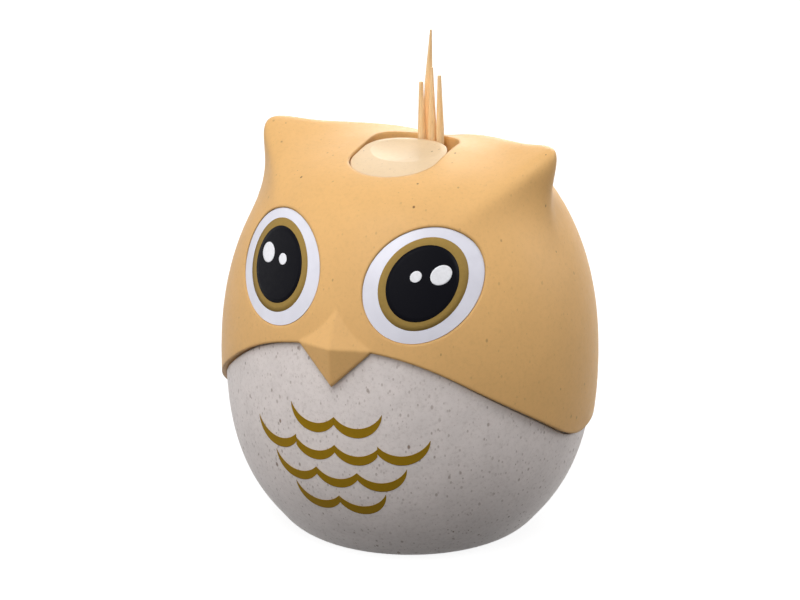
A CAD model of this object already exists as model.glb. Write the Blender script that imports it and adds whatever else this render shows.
import math

import bmesh
import bpy
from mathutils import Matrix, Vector
from mathutils.bvhtree import BVHTree


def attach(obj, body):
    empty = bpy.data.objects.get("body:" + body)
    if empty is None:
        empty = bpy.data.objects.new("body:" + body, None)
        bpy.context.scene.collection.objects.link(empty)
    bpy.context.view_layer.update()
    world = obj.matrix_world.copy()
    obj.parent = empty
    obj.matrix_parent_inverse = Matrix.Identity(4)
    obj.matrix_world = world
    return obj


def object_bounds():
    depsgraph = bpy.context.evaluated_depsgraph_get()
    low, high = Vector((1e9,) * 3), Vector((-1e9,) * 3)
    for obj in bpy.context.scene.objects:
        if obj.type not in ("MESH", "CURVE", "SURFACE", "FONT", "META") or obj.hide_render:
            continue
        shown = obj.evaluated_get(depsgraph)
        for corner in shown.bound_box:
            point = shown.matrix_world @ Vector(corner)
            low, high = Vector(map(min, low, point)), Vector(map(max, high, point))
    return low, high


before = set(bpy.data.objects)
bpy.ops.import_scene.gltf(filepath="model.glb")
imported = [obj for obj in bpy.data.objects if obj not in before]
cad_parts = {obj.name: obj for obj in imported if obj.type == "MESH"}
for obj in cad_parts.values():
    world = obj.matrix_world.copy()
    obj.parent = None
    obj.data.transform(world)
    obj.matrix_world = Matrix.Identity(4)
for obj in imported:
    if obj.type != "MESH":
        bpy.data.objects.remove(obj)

CAD_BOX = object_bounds()
MM = 0.001
FLOOR_HALF_WIDTH = 3.0
FLOOR_BOUNCE = 0.08     # grey of the floor for light that bounces off it
FLOOR_SHADE = 0.25      # grey that takes the object's shadow, where the floor is seen
FLOOR_GLOW = 0.88       # light that makes up the rest of the white floor
LAMP_AIM = (0.0, 0.0, 0.055)
WHITE = (1.0, 1.0, 1.0, 1.0)
GLINT_WHITE = (0.93, 0.93, 0.97, 1.0)

# Name, place, size and the setting that holds the power of each lamp.
LAMPS = (
    ("key_lamp", (0.0, -0.50, 0.75), 0.55, "key_power"),
    ("top_lamp", (0.0, -0.10, 0.85), 0.70, "top_power"),
    ("front_lamp", (0.10, -0.85, 0.45), 0.60, "front_power"),
    ("left_lamp", (-0.75, -0.25, 0.20), 0.50, "left_power"),
    ("back_lamp", (-0.10, 0.80, 0.40), 0.60, "back_power"),
    ("side_lamp", (0.70, 0.50, 0.35), 0.45, "side_power"),
)

# Flecks on the head and plate, and on the bowl: the spacing and largest radius in millimetres,
# the share of cells that hold a fleck, and how dark the flecks are.
FAINT_FLECKS = ((0.9, 0.20, 0.5, 0.15), (2.2, 0.30, 0.4, 0.45), (4.5, 0.32, 0.5, 0.85))
DENSE_FLECKS = ((0.8, 0.26, 0.6, 0.38), (1.5, 0.36, 0.5, 0.55), (3.0, 0.42, 0.55, 0.85))

# Each row of scallops from the top: the places in pitches, and the low points in millimetres.
FEATHER_ROWS = (
    ("first", (-0.5, 0.5), (35.15, 35.15)),
    ("second", (-1.5, -0.5, 0.5, 1.5), (28.9, 28.15, 28.15, 28.9)),
    ("third", (-1.0, 0.0, 1.0), (21.6, 21.55, 21.6)),
    ("fourth", (-0.5, 0.5), (14.6, 14.6)),
)

bl_info = {
    "name": "Owl Toothpick Dispenser",
    "version": (1, 0, 0),
    "blender": (4, 5, 0),
    "location": "View3D > Sidebar > Owl Dispenser",
    "description": "Finishes, printed eyes and feathers, and a studio for an owl-shaped toothpick dispenser",
    "category": "Object",
}


def tint(red, green, blue):
    """A colour picked as 0 to 255 values, as the linear colour that materials use."""
    shares = [value / 255 for value in (red, green, blue)]
    return tuple(s / 12.92 if s <= 0.04045 else ((s + 0.055) / 1.055) ** 2.4 for s in shares) + (1.0,)


def colour_property(name, description, red, green, blue):
    return bpy.props.FloatVectorProperty(
        name=name, description=description, subtype="COLOR", size=4,
        min=0.0, max=1.0, default=tint(red, green, blue))


def length_property(name, description, millimetres):
    return bpy.props.FloatProperty(
        name=name, description=description, unit="LENGTH", precision=4, default=millimetres * MM)


def power_property(name, description, watts):
    return bpy.props.FloatProperty(name=name, description=description, unit="POWER", default=watts)


class OwlFinishes(bpy.types.PropertyGroup):
    """Colours of the moulded, printed and inner pieces."""
    head_colour: colour_property("Head", "Tan straw-filled plastic of the head", 240, 190, 124)
    plate_colour: colour_property("Press plate", "Paler tan of the press plate", 237, 209, 170)
    bowl_colour: colour_property("Bowl", "Warm pale straw-filled plastic of the bowl", 246, 236, 232)
    inner_colour: colour_property("Inner plastic", "Magazine and lift tube", 206, 140, 84)
    eye_colour: colour_property("Eye white", "White of the eye discs", 237, 236, 247)
    iris_colour: colour_property("Iris print", "Gold ring of each eye", 166, 136, 74)
    feather_colour: colour_property("Feather print", "Olive gold of the scallops", 162, 126, 26)
    pupil_colour: colour_property("Pupil print", "Black of the pupils", 12, 12, 18)
    steel_colour: colour_property("Steel", "Screws, washers, spring and pin", 176, 176, 180)
    wood_colour: colour_property("Bamboo", "Toothpicks", 252, 218, 168)
    fleck_colour: colour_property("Straw fleck", "Brown flecks of straw in the plastic", 112, 78, 52)


class OwlEyePrint(bpy.types.PropertyGroup):
    """Sizes of the rings printed on each eye disc."""
    iris_outward: length_property("Iris outward", "Iris centre from the middle plane", 18.0)
    iris_level: length_property("Iris level", "Height of the iris centre", 71.3)
    iris_half_width: length_property("Iris half width", "Half the width of the gold ring", 9.05)
    iris_half_height: length_property("Iris half height", "Half the height of the gold ring", 9.8)
    pupil_outward: length_property("Pupil outward", "Pupil centre from the middle plane", 18.0)
    pupil_level: length_property("Pupil level", "Height of the pupil centre", 71.5)
    pupil_half_width: length_property("Pupil half width", "Half the width of the pupil", 7.35)
    pupil_half_height: length_property("Pupil half height", "Half the height of the pupil", 8.05)
    glint_outward: length_property("Large glint outward", "Large glint from the middle plane", 21.7)
    glint_level: length_property("Large glint level", "Height of the large glint", 73.3)
    glint_radius: length_property("Large glint radius", "Radius of the large glint", 2.07)
    spark_outward: length_property("Small glint outward", "Small glint from the middle plane", 16.7)
    spark_level: length_property("Small glint level", "Height of the small glint", 73.15)
    spark_radius: length_property("Small glint radius", "Radius of the small glint", 1.2)
    layer: length_property("Ink layer", "How far each printed layer stands over the last", 0.02)


class OwlFeatherPrint(bpy.types.PropertyGroup):
    """Sizes of the rows of scallops printed on the bowl."""
    pitch: length_property("Pitch", "Spacing of the scallops in a row", 10.3)
    band: length_property("Band", "Depth of a scallop at its lowest point", 2.35)
    inner_radius: length_property("Inner radius", "Radius of a scallop's upper edge", 7.0)
    outer_radius: length_property("Outer radius", "Radius of a scallop's lower edge", 6.3)
    layer: length_property("Ink layer", "How far the print stands over the bowl", 0.04)
    rim: length_property("Raised rim", "How much more the edges of a scallop stand out than its middle", 0.05)


class OwlStudio(bpy.types.PropertyGroup):
    """Camera and lamps of the studio."""
    target: bpy.props.FloatVectorProperty(
        name="Target", description="Point that the camera looks at", subtype="TRANSLATION",
        unit="LENGTH", precision=4, default=(-0.002642, 0.0, 0.053914))
    azimuth: bpy.props.FloatProperty(
        name="Azimuth", description="Turn of the camera to the right of the front", subtype="ANGLE",
        default=math.radians(23.418))
    elevation: bpy.props.FloatProperty(
        name="Elevation", description="Height of the camera over the horizon", subtype="ANGLE",
        default=math.radians(18.736))
    distance: bpy.props.FloatProperty(
        name="Distance", description="Camera to target", unit="LENGTH", default=0.69883)
    lens: bpy.props.FloatProperty(
        name="Lens", description="Focal length on a 36 mm sensor", unit="CAMERA", default=129.85)
    key_power: power_property("Key power", "Large soft lamp high in front", 4.0)
    top_power: power_property("Top power", "Soft lamp overhead", 1.1)
    front_power: power_property("Front power", "Weak lamp in front", 1.5)
    left_power: power_property("Left power", "Weak lamp at the left", 1.3)
    back_power: power_property("Back power", "Soft lamp behind the object", 4.8)
    side_power: power_property("Side power", "Lamp behind the object on the right", 2.9)
    sky: bpy.props.FloatProperty(
        name="Sky", description="Even light from all round", subtype="FACTOR", default=0.14)


SETTINGS = (
    ("owl_finishes", OwlFinishes),
    ("owl_eye_print", OwlEyePrint),
    ("owl_feather_print", OwlFeatherPrint),
    ("owl_studio", OwlStudio),
)


def link(material, start, end):
    material.node_tree.links.new(start, end)


def add_node(material, kind, **values):
    """A node of a kind, with its inputs set by name and its options by attribute."""
    node = material.node_tree.nodes.new(kind)
    for name, value in values.items():
        socket = node.inputs.get(name.replace("_", " "))
        if socket is None:
            setattr(node, name, value)
        else:
            socket.default_value = value
    return node


def fresh_material(name):
    """A new material with its Principled shader, and object coordinates in metres."""
    material = bpy.data.materials.new(name)
    material.use_nodes = True
    shader = material.node_tree.nodes["Principled BSDF"]
    place = add_node(material, "ShaderNodeTexCoord").outputs["Object"]
    return material, shader, place


def math_node(material, operation, first, second, clamp=False):
    node = add_node(material, "ShaderNodeMath", operation=operation, use_clamp=clamp)
    for socket, value in zip(node.inputs, (first, second)):
        if isinstance(value, (int, float)):
            socket.default_value = value
        else:
            link(material, value, socket)
    return node.outputs[0]


def mix_colours(material, amount, first, second):
    node = add_node(material, "ShaderNodeMix", data_type="RGBA")
    for socket, value in zip((node.inputs[0], node.inputs[6], node.inputs[7]), (amount, first, second)):
        if isinstance(value, (float, tuple)):
            socket.default_value = value
        else:
            link(material, value, socket)
    return node.outputs[2]


def noise(material, place, size, detail=2.0, roughness=0.5, stretch=(1.0, 1.0, 1.0)):
    """Soft noise whose patches are about that size, in millimetres."""
    mapping = add_node(material, "ShaderNodeMapping", Scale=stretch)
    link(material, place, mapping.inputs["Vector"])
    node = add_node(
        material, "ShaderNodeTexNoise", Scale=1.0 / (size * MM), Detail=detail, Roughness=roughness)
    link(material, mapping.outputs["Vector"], node.inputs["Vector"])
    return node.outputs["Fac"]


def spread(material, value, low, high, to_low=0.0, to_high=1.0):
    """A value's range from low to high, widened to 0 to 1 with soft ends."""
    node = add_node(material, "ShaderNodeMapRange", interpolation_type="SMOOTHSTEP")
    link(material, value, node.inputs["Value"])
    limits = {"From Min": low, "From Max": high, "To Min": to_low, "To Max": to_high}
    for name, limit in limits.items():
        node.inputs[name].default_value = limit
    return node.outputs["Result"]


def flecks(material, place, spacing, radius, share, stretch=(1.0, 1.0, 1.0)):
    """Irregular flecks in a share of evenly spread cells, as a mask from 0 to 1."""
    mapping = add_node(material, "ShaderNodeMapping", Scale=stretch, Rotation=(0.4, 0.7, 0.2))
    link(material, place, mapping.inputs["Vector"])
    cells = add_node(material, "ShaderNodeTexVoronoi", Scale=1.0 / (spacing * MM), Randomness=1.0)
    link(material, mapping.outputs["Vector"], cells.inputs["Vector"])
    lot = add_node(material, "ShaderNodeSeparateColor")
    link(material, cells.outputs["Color"], lot.inputs["Color"])
    chosen = math_node(material, "LESS_THAN", lot.outputs["Red"], share)
    size = spread(material, lot.outputs["Green"], 0.0, 1.0, 0.35, 1.0)
    reach = math_node(material, "MULTIPLY", size, radius / spacing)
    inside = math_node(material, "DIVIDE", cells.outputs["Distance"], reach)
    mask = spread(material, inside, 0.6, 1.25, 1.0, 0.0)
    strength = spread(material, lot.outputs["Blue"], 0.0, 1.0, 0.35, 1.0)
    return math_node(material, "MULTIPLY", math_node(material, "MULTIPLY", mask, chosen), strength)


def add_bump(material, shader, height, depth, soft_edge=0.0):
    """Relief of a depth and softened edges of a radius, both in millimetres."""
    bump = add_node(material, "ShaderNodeBump", Distance=depth * MM)
    link(material, height, bump.inputs["Height"])
    link(material, bump.outputs["Normal"], shader.inputs["Normal"])
    if soft_edge:
        bevel = add_node(material, "ShaderNodeBevel", samples=6, Radius=soft_edge * MM)
        link(material, bevel.outputs["Normal"], bump.inputs["Normal"])


def straw_plastic(name, colour, fleck, contrast, layers, soft_edge, gloss, sheen):
    """Matte moulded plastic with straw flecks, cloudy patches and a very fine grain.

    Contrast scales how strong its patches are, and gloss and sheen are the shader's own weights.
    """
    material, shader, place = fresh_material(name)
    clouds = spread(material, noise(material, place, 7.0, 3.0, 0.6), 0.3, 0.7)
    darker = tuple(channel * (1.0 - 0.08 * contrast) for channel in colour[:3]) + (1.0,)
    body = mix_colours(material, clouds, darker, tuple(colour))
    mottle = spread(material, noise(material, place, 0.9, 4.0, 0.7), 0.42, 0.80)
    body = mix_colours(material, math_node(material, "MULTIPLY", mottle, 0.22 * contrast), body, tuple(fleck))
    for spacing, radius, share, weight in layers:
        mask = flecks(material, place, spacing, radius, share, (1.0, 0.8, 0.6))
        body = mix_colours(material, math_node(material, "MULTIPLY", mask, weight), body, tuple(fleck))
    link(material, body, shader.inputs["Base Color"])
    rough = spread(material, noise(material, place, 1.2), 0.3, 0.7, 0.45, 0.53)
    link(material, rough, shader.inputs["Roughness"])
    shader.inputs["Specular IOR Level"].default_value = gloss
    shader.inputs["Sheen Weight"].default_value = sheen
    shader.inputs["Sheen Roughness"].default_value = 0.35
    add_bump(material, shader, noise(material, place, 0.6, 3.0, 0.55), 0.010, soft_edge)
    return material


def plain_plastic(name, colour, roughness=0.4):
    """Smooth moulded plastic with a faint cloudiness and grain."""
    material, shader, place = fresh_material(name)
    clouds = spread(material, noise(material, place, 6.0, 3.0), 0.3, 0.7)
    darker = tuple(channel * 0.93 for channel in colour[:3]) + (1.0,)
    link(material, mix_colours(material, clouds, darker, tuple(colour)), shader.inputs["Base Color"])
    rough = spread(material, noise(material, place, 0.8), 0.3, 0.7, roughness - 0.05, roughness + 0.05)
    link(material, rough, shader.inputs["Roughness"])
    add_bump(material, shader, noise(material, place, 0.5, 2.0), 0.005)
    return material


def printed_ink(name, colour, roughness, gloss):
    """Flat printed ink with a slight mottle."""
    material, shader, place = fresh_material(name)
    mottle = spread(material, noise(material, place, 0.7, 3.0, 0.6), 0.3, 0.7)
    darker = tuple(channel * 0.92 for channel in colour[:3]) + (1.0,)
    link(material, mix_colours(material, mottle, darker, tuple(colour)), shader.inputs["Base Color"])
    rough = spread(material, mottle, 0.0, 1.0, roughness - 0.06, roughness + 0.04)
    link(material, rough, shader.inputs["Roughness"])
    shader.inputs["Specular IOR Level"].default_value = gloss
    return material


def drawn_steel(name, colour):
    """Bright steel with fine streaks."""
    material, shader, place = fresh_material(name)
    streaks = noise(material, place, 0.5, 2.0, 0.5, (1.0, 1.0, 0.08))
    darker = tuple(channel * 0.8 for channel in colour[:3]) + (1.0,)
    link(material, mix_colours(material, streaks, darker, tuple(colour)), shader.inputs["Base Color"])
    link(material, spread(material, streaks, 0.3, 0.7, 0.22, 0.38), shader.inputs["Roughness"])
    shader.inputs["Metallic"].default_value = 1.0
    return material


def bamboo(name, colour):
    """Split bamboo with long fibres along the stick and a slightly rough cut."""
    material, shader, place = fresh_material(name)
    fibres = noise(material, place, 0.28, 3.0, 0.6, (1.0, 1.0, 0.03))
    patches = noise(material, place, 3.0, 2.0, 0.5, (1.0, 1.0, 0.2))
    darker = tuple(channel * share for channel, share in zip(colour[:3], (0.88, 0.78, 0.64))) + (1.0,)
    body = mix_colours(material, spread(material, fibres, 0.35, 0.7), tuple(colour), darker)
    body = mix_colours(material, spread(material, patches, 0.45, 0.9, 0.0, 0.4), body, darker)
    link(material, body, shader.inputs["Base Color"])
    link(material, spread(material, fibres, 0.3, 0.7, 0.5, 0.65), shader.inputs["Roughness"])
    add_bump(material, shader, fibres, 0.03)
    return material


def finish_node(name, material):
    """Gives a CAD node its material."""
    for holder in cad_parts[name].material_slots:
        holder.material = material
    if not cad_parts[name].material_slots:
        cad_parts[name].data.materials.append(material)


def surface_of(node):
    """The surface of a CAD node, for pieces to be laid on."""
    return BVHTree.FromObject(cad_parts[node], bpy.context.evaluated_depsgraph_get())


def lay_on(mesh, surface, height):
    """Moves a flat print along Y on to the front of a surface, where a point's own Y adds to the height."""
    for point in mesh.verts:
        start = Vector((point.co.x, CAD_BOX[0][1] - 0.01, point.co.z))
        place, normal, _, _ = surface.ray_cast(start, Vector((0.0, 1.0, 0.0)))
        if place is None:
            raise RuntimeError("a printed shape runs off the surface that it lies on")
        point.co = place + normal * (height + point.co.y)


def add_piece(name, mesh, body, material):
    """Makes a bmesh a piece of the scene that rides on a CAD body."""
    data = bpy.data.meshes.new(name)
    mesh.to_mesh(data)
    mesh.free()
    piece = bpy.data.objects.new(name, data)
    bpy.context.scene.collection.objects.link(piece)
    data.materials.append(material)
    for face in data.polygons:
        face.use_smooth = True
    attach(piece, body)
    return piece


def give_thickness(piece, depth):
    """Gives a printed patch a thin closed body, outwards from where it lies."""
    skin = piece.modifiers.new("ink", "SOLIDIFY")
    skin.thickness = depth
    skin.offset = -1.0
    return piece


def printed_disc(centre, half_width, half_height):
    """A flat oval in the XZ plane, with rings of points for it to bend over a curved surface."""
    mesh = bmesh.new()
    start = mesh.verts.new((0.0, 0.0, 0.0))
    last = start
    spokes = []
    for ring in range(1, 9):
        point = mesh.verts.new((ring / 8, 0.0, 0.0))
        spokes.append(mesh.edges.new((last, point)))
        last = point
    bmesh.ops.spin(
        mesh, geom=list(mesh.verts) + spokes, cent=(0, 0, 0), axis=(0, 1, 0), dvec=(0, 0, 0),
        angle=math.tau, steps=64, use_merge=True, use_normal_flip=False, use_duplicate=False)
    bmesh.ops.remove_doubles(mesh, verts=mesh.verts, dist=0.001)
    bmesh.ops.scale(mesh, vec=(half_width, 1.0, half_height), verts=mesh.verts)
    bmesh.ops.translate(mesh, vec=centre, verts=mesh.verts)
    return mesh


def face_forwards(mesh):
    """Turns every face of a laid print to the front."""
    turned = [face for face in mesh.faces if face.normal.y > 0]
    bmesh.ops.reverse_faces(mesh, faces=turned)


def printed_scallop(centre_x, low, sizes, left_end, right_end):
    """A dished crescent between two arcs, cut off upright where it meets its neighbour in the row."""
    mesh = bmesh.new()
    bmesh.ops.create_grid(mesh, x_segments=36, y_segments=14, size=1.0)
    inner_centre = low + sizes.band + sizes.inner_radius
    outer_centre = low + sizes.outer_radius
    cut = math.asin(0.5 * sizes.pitch / sizes.outer_radius)
    tip = 0.5 * math.pi
    start = -tip if left_end else -cut
    end = tip if right_end else cut
    for point in mesh.verts:
        turn = start + (end - start) * (point.co.x + 1.0) / 2.0
        across = sizes.outer_radius * math.sin(turn)
        outer = outer_centre - sizes.outer_radius * math.cos(turn)
        inner = inner_centre - math.sqrt(sizes.inner_radius ** 2 - across ** 2)
        share = (point.co.y + 1.0) / 2.0
        rise = sizes.rim * abs(point.co.y) ** 8
        point.co = Vector((centre_x + across, rise, outer + (max(inner, outer) - outer) * share))
    bmesh.ops.remove_doubles(mesh, verts=mesh.verts, dist=1e-6)
    return mesh


class OWL_OT_stage(bpy.types.Operator):
    """Builds the white studio: floor, camera, lamps and sky."""
    bl_idname = "owl.stage"
    bl_label = "Studio"

    def execute(self, context):
        studio = context.scene.owl_studio
        scene = context.scene
        scene.view_settings.view_transform = "Standard"
        self.add_floor()
        self.add_sky(scene, studio.sky)
        self.add_camera(scene, studio)
        for name, place, size, setting in LAMPS:
            self.add_lamp(name, place, size, getattr(studio, setting))
        return {"FINISHED"}

    def add_floor(self):
        mesh = bmesh.new()
        bmesh.ops.create_grid(mesh, x_segments=8, y_segments=8, size=FLOOR_HALF_WIDTH)
        bmesh.ops.translate(mesh, vec=(0.0, 0.0, CAD_BOX[0][2]), verts=mesh.verts)
        data = bpy.data.meshes.new("floor")
        mesh.to_mesh(data)
        mesh.free()
        floor = bpy.data.objects.new("floor", data)
        bpy.context.scene.collection.objects.link(floor)
        data.materials.append(self.floor_material())

    def seen_rays(self, tree):
        """1 for rays that see the stage straight, in a reflection or through glass."""
        rays = tree.nodes.new("ShaderNodeLightPath")
        total = rays.outputs["Is Camera Ray"]
        for name in ("Is Glossy Ray", "Is Transmission Ray"):
            larger = tree.nodes.new("ShaderNodeMath")
            larger.operation = "MAXIMUM"
            tree.links.new(total, larger.inputs[0])
            tree.links.new(rays.outputs[name], larger.inputs[1])
            total = larger.outputs[0]
        return total

    def floor_material(self):
        material = bpy.data.materials.new("pale_floor")
        material.use_nodes = True
        tree = material.node_tree
        tree.nodes.remove(tree.nodes["Principled BSDF"])
        output = tree.nodes["Material Output"]
        matte = tree.nodes.new("ShaderNodeBsdfDiffuse")
        matte.inputs["Color"].default_value = (FLOOR_BOUNCE,) * 3 + (1.0,)
        pale = tree.nodes.new("ShaderNodeBsdfDiffuse")
        pale.inputs["Color"].default_value = (FLOOR_SHADE,) * 3 + (1.0,)
        glow = tree.nodes.new("ShaderNodeEmission")
        glow.inputs["Strength"].default_value = FLOOR_GLOW
        both = tree.nodes.new("ShaderNodeAddShader")
        tree.links.new(pale.outputs[0], both.inputs[0])
        tree.links.new(glow.outputs[0], both.inputs[1])
        choose = tree.nodes.new("ShaderNodeMixShader")
        tree.links.new(self.seen_rays(tree), choose.inputs[0])
        tree.links.new(matte.outputs[0], choose.inputs[1])
        tree.links.new(both.outputs[0], choose.inputs[2])
        tree.links.new(choose.outputs[0], output.inputs["Surface"])
        return material

    def add_sky(self, scene, strength):
        world = bpy.data.worlds.new("studio_sky")
        scene.world = world
        world.use_nodes = True
        tree = world.node_tree
        soft = tree.nodes["Background"]
        soft.inputs["Color"].default_value = WHITE
        soft.inputs["Strength"].default_value = strength
        white = tree.nodes.new("ShaderNodeBackground")
        white.inputs["Color"].default_value = WHITE
        choose = tree.nodes.new("ShaderNodeMixShader")
        tree.links.new(self.seen_rays(tree), choose.inputs[0])
        tree.links.new(soft.outputs[0], choose.inputs[1])
        tree.links.new(white.outputs[0], choose.inputs[2])
        tree.links.new(choose.outputs[0], tree.nodes["World Output"].inputs["Surface"])

    def add_camera(self, scene, studio):
        turn, rise = studio.azimuth, studio.elevation
        back = Vector((math.sin(turn) * math.cos(rise), -math.cos(turn) * math.cos(rise), math.sin(rise)))
        data = bpy.data.cameras.new("camera")
        data.sensor_width = 36.0
        data.lens = studio.lens
        camera = bpy.data.objects.new("camera", data)
        camera.location = Vector(studio.target) + back * studio.distance
        camera.rotation_euler = (-back).to_track_quat("-Z", "Y").to_euler()
        scene.collection.objects.link(camera)
        scene.camera = camera

    def add_lamp(self, name, place, size, power):
        data = bpy.data.lights.new(name, "AREA")
        data.shape = "DISK"
        data.size = size
        data.energy = power
        lamp = bpy.data.objects.new(name, data)
        lamp.location = place
        aim = Vector(LAMP_AIM) - Vector(place)
        lamp.rotation_euler = aim.to_track_quat("-Z", "Y").to_euler()
        bpy.context.scene.collection.objects.link(lamp)


class OWL_OT_shell_finishes(bpy.types.Operator):
    """Gives the head, bowl and press plate their flecked plastic, and the eye discs their white."""
    bl_idname = "owl.shell_finishes"
    bl_label = "Moulded shells"

    def execute(self, context):
        colours = context.scene.owl_finishes
        fleck = colours.fleck_colour
        head = straw_plastic("head_plastic", colours.head_colour, fleck, 0.4, FAINT_FLECKS, 1.0, 0.15, 0.1)
        finish_node("head_shell", head)
        plate = straw_plastic("plate_plastic", colours.plate_colour, fleck, 0.3, FAINT_FLECKS, 0.4, 0.10, 0.0)
        finish_node("press_plate", plate)
        bowl = straw_plastic("bowl_plastic", colours.bowl_colour, fleck, 1.0, DENSE_FLECKS, 0.4, 0.4, 0.0)
        finish_node("body_shell", bowl)
        white = plain_plastic("eye_plastic", colours.eye_colour, 0.35)
        for node in ("left_eye", "right_eye"):
            finish_node(node, white)
        return {"FINISHED"}


class OWL_OT_inner_finishes(bpy.types.Operator):
    """Gives the press parts, fasteners, spring and toothpicks their finishes."""
    bl_idname = "owl.inner_finishes"
    bl_label = "Inner pieces"

    def execute(self, context):
        colours = context.scene.owl_finishes
        inner = plain_plastic("inner_plastic", colours.inner_colour, 0.42)
        steel = drawn_steel("drawn_steel", colours.steel_colour)
        wood = bamboo("bamboo_stick", colours.wood_colour)
        finishes = {
            inner: ("magazine", "lift_tube"),
            steel: ("guide_post", "magazine_screws", "spring_washer", "return_spring",
                    "stop_washer", "stop_screw", "plate_pin"),
            wood: ("toothpick_left", "toothpick_tall", "toothpick_middle", "toothpick_right",
                   "stored_toothpicks"),
        }
        for material, nodes in finishes.items():
            for node in nodes:
                finish_node(node, material)
        return {"FINISHED"}


class OWL_OT_eye_prints(bpy.types.Operator):
    """Prints the gold iris, black pupil and two glints on each eye disc."""
    bl_idname = "owl.eye_prints"
    bl_label = "Eye prints"

    def execute(self, context):
        colours = context.scene.owl_finishes
        sizes = context.scene.owl_eye_print
        gold = printed_ink("gold_iris", colours.iris_colour, 0.55, 0.06)
        black = printed_ink("pupil_ink", colours.pupil_colour, 0.5, 0.05)
        white = printed_ink("glint_ink", GLINT_WHITE, 0.45, 0.5)
        shapes = (
            ("iris", sizes.iris_outward, sizes.iris_level,
             sizes.iris_half_width, sizes.iris_half_height, gold),
            ("pupil", sizes.pupil_outward, sizes.pupil_level,
             sizes.pupil_half_width, sizes.pupil_half_height, black),
            ("large_glint", sizes.glint_outward, sizes.glint_level,
             sizes.glint_radius, sizes.glint_radius, white),
            ("small_glint", sizes.spark_outward, sizes.spark_level,
             sizes.spark_radius, sizes.spark_radius, white),
        )
        for side, sign in (("left", -1), ("right", 1)):
            surface = surface_of(side + "_eye")
            for layer, (name, outward, level, half_width, half_height, material) in enumerate(shapes):
                mesh = printed_disc((sign * outward, 0.0, level), half_width, half_height)
                lay_on(mesh, surface, sizes.layer * min(layer + 1, 3))
                mesh.normal_update()
                face_forwards(mesh)
                piece = add_piece(side + "_" + name, mesh, "head", material)
                give_thickness(piece, sizes.layer * 0.8)
        return {"FINISHED"}


class OWL_OT_feather_prints(bpy.types.Operator):
    """Prints four rows of scallop feathers on the front of the bowl."""
    bl_idname = "owl.feather_prints"
    bl_label = "Feather prints"

    def execute(self, context):
        sizes = context.scene.owl_feather_print
        gold = printed_ink("gold_feathers", context.scene.owl_finishes.feather_colour, 0.5, 0.06)
        surface = surface_of("body_shell")
        for name, places, lows in FEATHER_ROWS:
            row = bmesh.new()
            for place, low in zip(places, lows):
                scallop = printed_scallop(
                    place * sizes.pitch, low * MM, sizes, place == places[0], place == places[-1])
                data = bpy.data.meshes.new("scallop")
                scallop.to_mesh(data)
                scallop.free()
                row.from_mesh(data)
                bpy.data.meshes.remove(data)
            lay_on(row, surface, sizes.layer)
            row.normal_update()
            face_forwards(row)
            piece = add_piece(name + "_feather_row", row, "base", gold)
            give_thickness(piece, sizes.layer * 0.8)
        return {"FINISHED"}


class OWL_PT_dispenser(bpy.types.Panel):
    """Lists the operators and settings of the owl dispenser."""
    bl_idname = "OWL_PT_dispenser"
    bl_label = "Owl Dispenser"
    bl_space_type = "VIEW_3D"
    bl_region_type = "UI"
    bl_category = "Owl Dispenser"

    def draw(self, context):
        for operator in OPERATORS:
            self.layout.operator(operator.bl_idname)
        for name, group in SETTINGS:
            box = self.layout.box()
            for setting in group.__annotations__:
                box.prop(getattr(context.scene, name), setting)


OPERATORS = (
    OWL_OT_shell_finishes,
    OWL_OT_inner_finishes,
    OWL_OT_eye_prints,
    OWL_OT_feather_prints,
    OWL_OT_stage,
)


def register():
    for name, group in SETTINGS:
        bpy.utils.register_class(group)
        setattr(bpy.types.Scene, name, bpy.props.PointerProperty(type=group))
    for operator in OPERATORS:
        bpy.utils.register_class(operator)
    bpy.utils.register_class(OWL_PT_dispenser)


def unregister():
    bpy.utils.unregister_class(OWL_PT_dispenser)
    for operator in reversed(OPERATORS):
        bpy.utils.unregister_class(operator)
    for name, group in reversed(SETTINGS):
        delattr(bpy.types.Scene, name)
        bpy.utils.unregister_class(group)


def main():
    register()
    bpy.ops.owl.shell_finishes()
    bpy.ops.owl.inner_finishes()
    bpy.ops.owl.eye_prints()
    bpy.ops.owl.feather_prints()
    bpy.ops.owl.stage()


if __name__ == "__main__":
    main()
